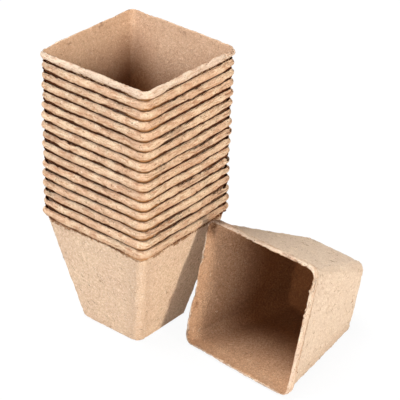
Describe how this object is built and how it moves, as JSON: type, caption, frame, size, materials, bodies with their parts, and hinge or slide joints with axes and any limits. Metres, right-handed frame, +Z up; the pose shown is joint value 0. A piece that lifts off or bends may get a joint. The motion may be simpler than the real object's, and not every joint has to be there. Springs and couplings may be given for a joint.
{
  "type": "peat pot",
  "caption": "Square tapered seedling pots of pressed fibre, with a thick band round each rim, nested in a tall stack with a loose one lying on its side in front.",
  "frame": {"origin": "middle of the lowest stacked pot's underside, on the surface that the set stands on", "axes": "+Z up along the stack; X and Y along the stacked pots' sides; the loose pot lies on the -Y side with its mouth towards -X"},
  "size_m": [0.1194, 0.1623, 0.1736],
  "materials": {
    "pressed_fibre": "matt, rough, undyed"
  },
  "bodies": {
    "pot_01": {"pot_01": "pressed_fibre"},
    "pot_02": {"pot_02": "pressed_fibre"},
    "pot_03": {"pot_03": "pressed_fibre"},
    "pot_04": {"pot_04": "pressed_fibre"},
    "pot_05": {"pot_05": "pressed_fibre"},
    "pot_06": {"pot_06": "pressed_fibre"},
    "pot_07": {"pot_07": "pressed_fibre"},
    "pot_08": {"pot_08": "pressed_fibre"},
    "pot_09": {"pot_09": "pressed_fibre"},
    "pot_10": {"pot_10": "pressed_fibre"},
    "pot_11": {"pot_11": "pressed_fibre"},
    "pot_12": {"pot_12": "pressed_fibre"},
    "pot_13": {"pot_13": "pressed_fibre"},
    "pot_14": {"pot_14": "pressed_fibre"},
    "pot_15": {"pot_15": "pressed_fibre"},
    "pot_16": {"pot_16": "pressed_fibre"},
    "pot_17": {"pot_17": "pressed_fibre"},
    "loose_pot": {"loose_pot": "pressed_fibre"}
  },
  "joints": [
    {"name": "pot_02_lift", "type": "slide", "parent": "pot_01", "child": "pot_02", "axis": [0, 0, 1], "range_m": [0, 0.075]},
    {"name": "pot_03_lift", "type": "slide", "parent": "pot_02", "child": "pot_03", "axis": [0, 0, 1], "range_m": [0, 0.075]},
    {"name": "pot_04_lift", "type": "slide", "parent": "pot_03", "child": "pot_04", "axis": [0, 0, 1], "range_m": [0, 0.075]},
    {"name": "pot_05_lift", "type": "slide", "parent": "pot_04", "child": "pot_05", "axis": [0, 0, 1], "range_m": [0, 0.075]},
    {"name": "pot_06_lift", "type": "slide", "parent": "pot_05", "child": "pot_06", "axis": [0, 0, 1], "range_m": [0, 0.075]},
    {"name": "pot_07_lift", "type": "slide", "parent": "pot_06", "child": "pot_07", "axis": [0, 0, 1], "range_m": [0, 0.075]},
    {"name": "pot_08_lift", "type": "slide", "parent": "pot_07", "child": "pot_08", "axis": [0, 0, 1], "range_m": [0, 0.075]},
    {"name": "pot_09_lift", "type": "slide", "parent": "pot_08", "child": "pot_09", "axis": [0, 0, 1], "range_m": [0, 0.075]},
    {"name": "pot_10_lift", "type": "slide", "parent": "pot_09", "child": "pot_10", "axis": [0, 0, 1], "range_m": [0, 0.075]},
    {"name": "pot_11_lift", "type": "slide", "parent": "pot_10", "child": "pot_11", "axis": [0, 0, 1], "range_m": [0, 0.075]},
    {"name": "pot_12_lift", "type": "slide", "parent": "pot_11", "child": "pot_12", "axis": [0, 0, 1], "range_m": [0, 0.075]},
    {"name": "pot_13_lift", "type": "slide", "parent": "pot_12", "child": "pot_13", "axis": [0, 0, 1], "range_m": [0, 0.075]},
    {"name": "pot_14_lift", "type": "slide", "parent": "pot_13", "child": "pot_14", "axis": [0, 0, 1], "range_m": [0, 0.075]},
    {"name": "pot_15_lift", "type": "slide", "parent": "pot_14", "child": "pot_15", "axis": [0, 0, 1], "range_m": [0, 0.075]},
    {"name": "pot_16_lift", "type": "slide", "parent": "pot_15", "child": "pot_16", "axis": [0, 0, 1], "range_m": [0, 0.075]},
    {"name": "pot_17_lift", "type": "slide", "parent": "pot_16", "child": "pot_17", "axis": [0, 0, 1], "range_m": [0, 0.075]},
    {"name": "loose_pot_slide", "type": "slide", "parent": "pot_01", "child": "loose_pot", "axis": [0, -1, 0], "range_m": [0, 0.1]}
  ]
}
